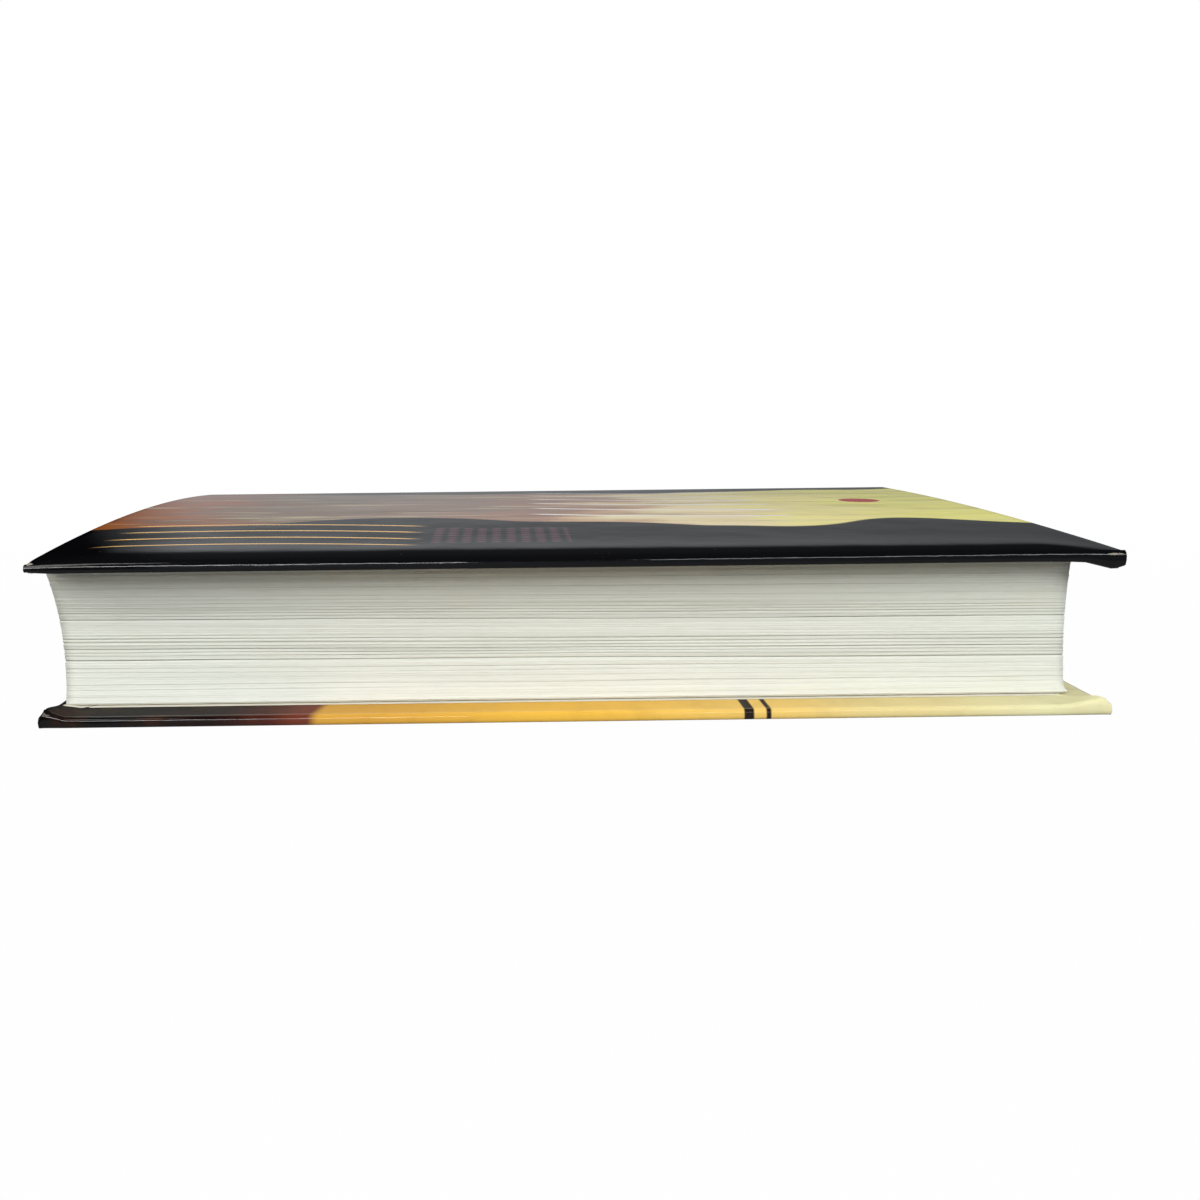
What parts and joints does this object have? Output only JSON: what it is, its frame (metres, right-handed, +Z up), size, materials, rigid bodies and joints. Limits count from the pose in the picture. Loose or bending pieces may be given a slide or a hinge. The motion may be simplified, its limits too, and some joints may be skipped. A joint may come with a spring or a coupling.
{
  "type": "hardback book",
  "caption": "Closed case-bound book with a slightly bowed front cover, hollow fore edge, rounded spine and grooved joints; both covers open.",
  "frame": {"origin": "on the table under the middle of the closed book's box, which lies on its back cover", "axes": "+X along the spine from tail to head, +Y from the fore edge to the spine, +Z up through the front cover"},
  "size_m": [0.218, 0.1608, 0.0366],
  "materials": {
    "page_paper": "matt",
    "endpaper": "matt",
    "printed_cover_paper": "gloss laminate",
    "greyboard": "matt",
    "lining_paper": "matt",
    "mull_cloth": "matt",
    "band_cloth": "matt"
  },
  "bodies": {
    "text_block": {"text_block": "page_paper", "front_flyleaf": "endpaper", "back_flyleaf": "endpaper", "tail_band": "band_cloth", "head_band": "band_cloth", "mull": "mull_cloth", "spine_lining": "lining_paper", "spine_inlay": "greyboard", "spine_cover": "printed_cover_paper"},
    "front_cover": {"front_board": "greyboard", "front_cover_wrap": "printed_cover_paper", "front_pastedown": "endpaper"},
    "back_cover": {"back_board": "greyboard", "back_cover_wrap": "printed_cover_paper", "back_pastedown": "endpaper"}
  },
  "joints": [
    {"name": "front_cover_hinge", "type": "hinge", "parent": "text_block", "child": "front_cover", "pos_m": [0, 0.07309, 0.03186], "axis": [-1, 0, 0], "range_deg": [0, 180]},
    {"name": "back_cover_hinge", "type": "hinge", "parent": "text_block", "child": "back_cover", "pos_m": [0, 0.07309, 0.00186], "axis": [1, 0, 0], "range_deg": [0, 180]}
  ]
}
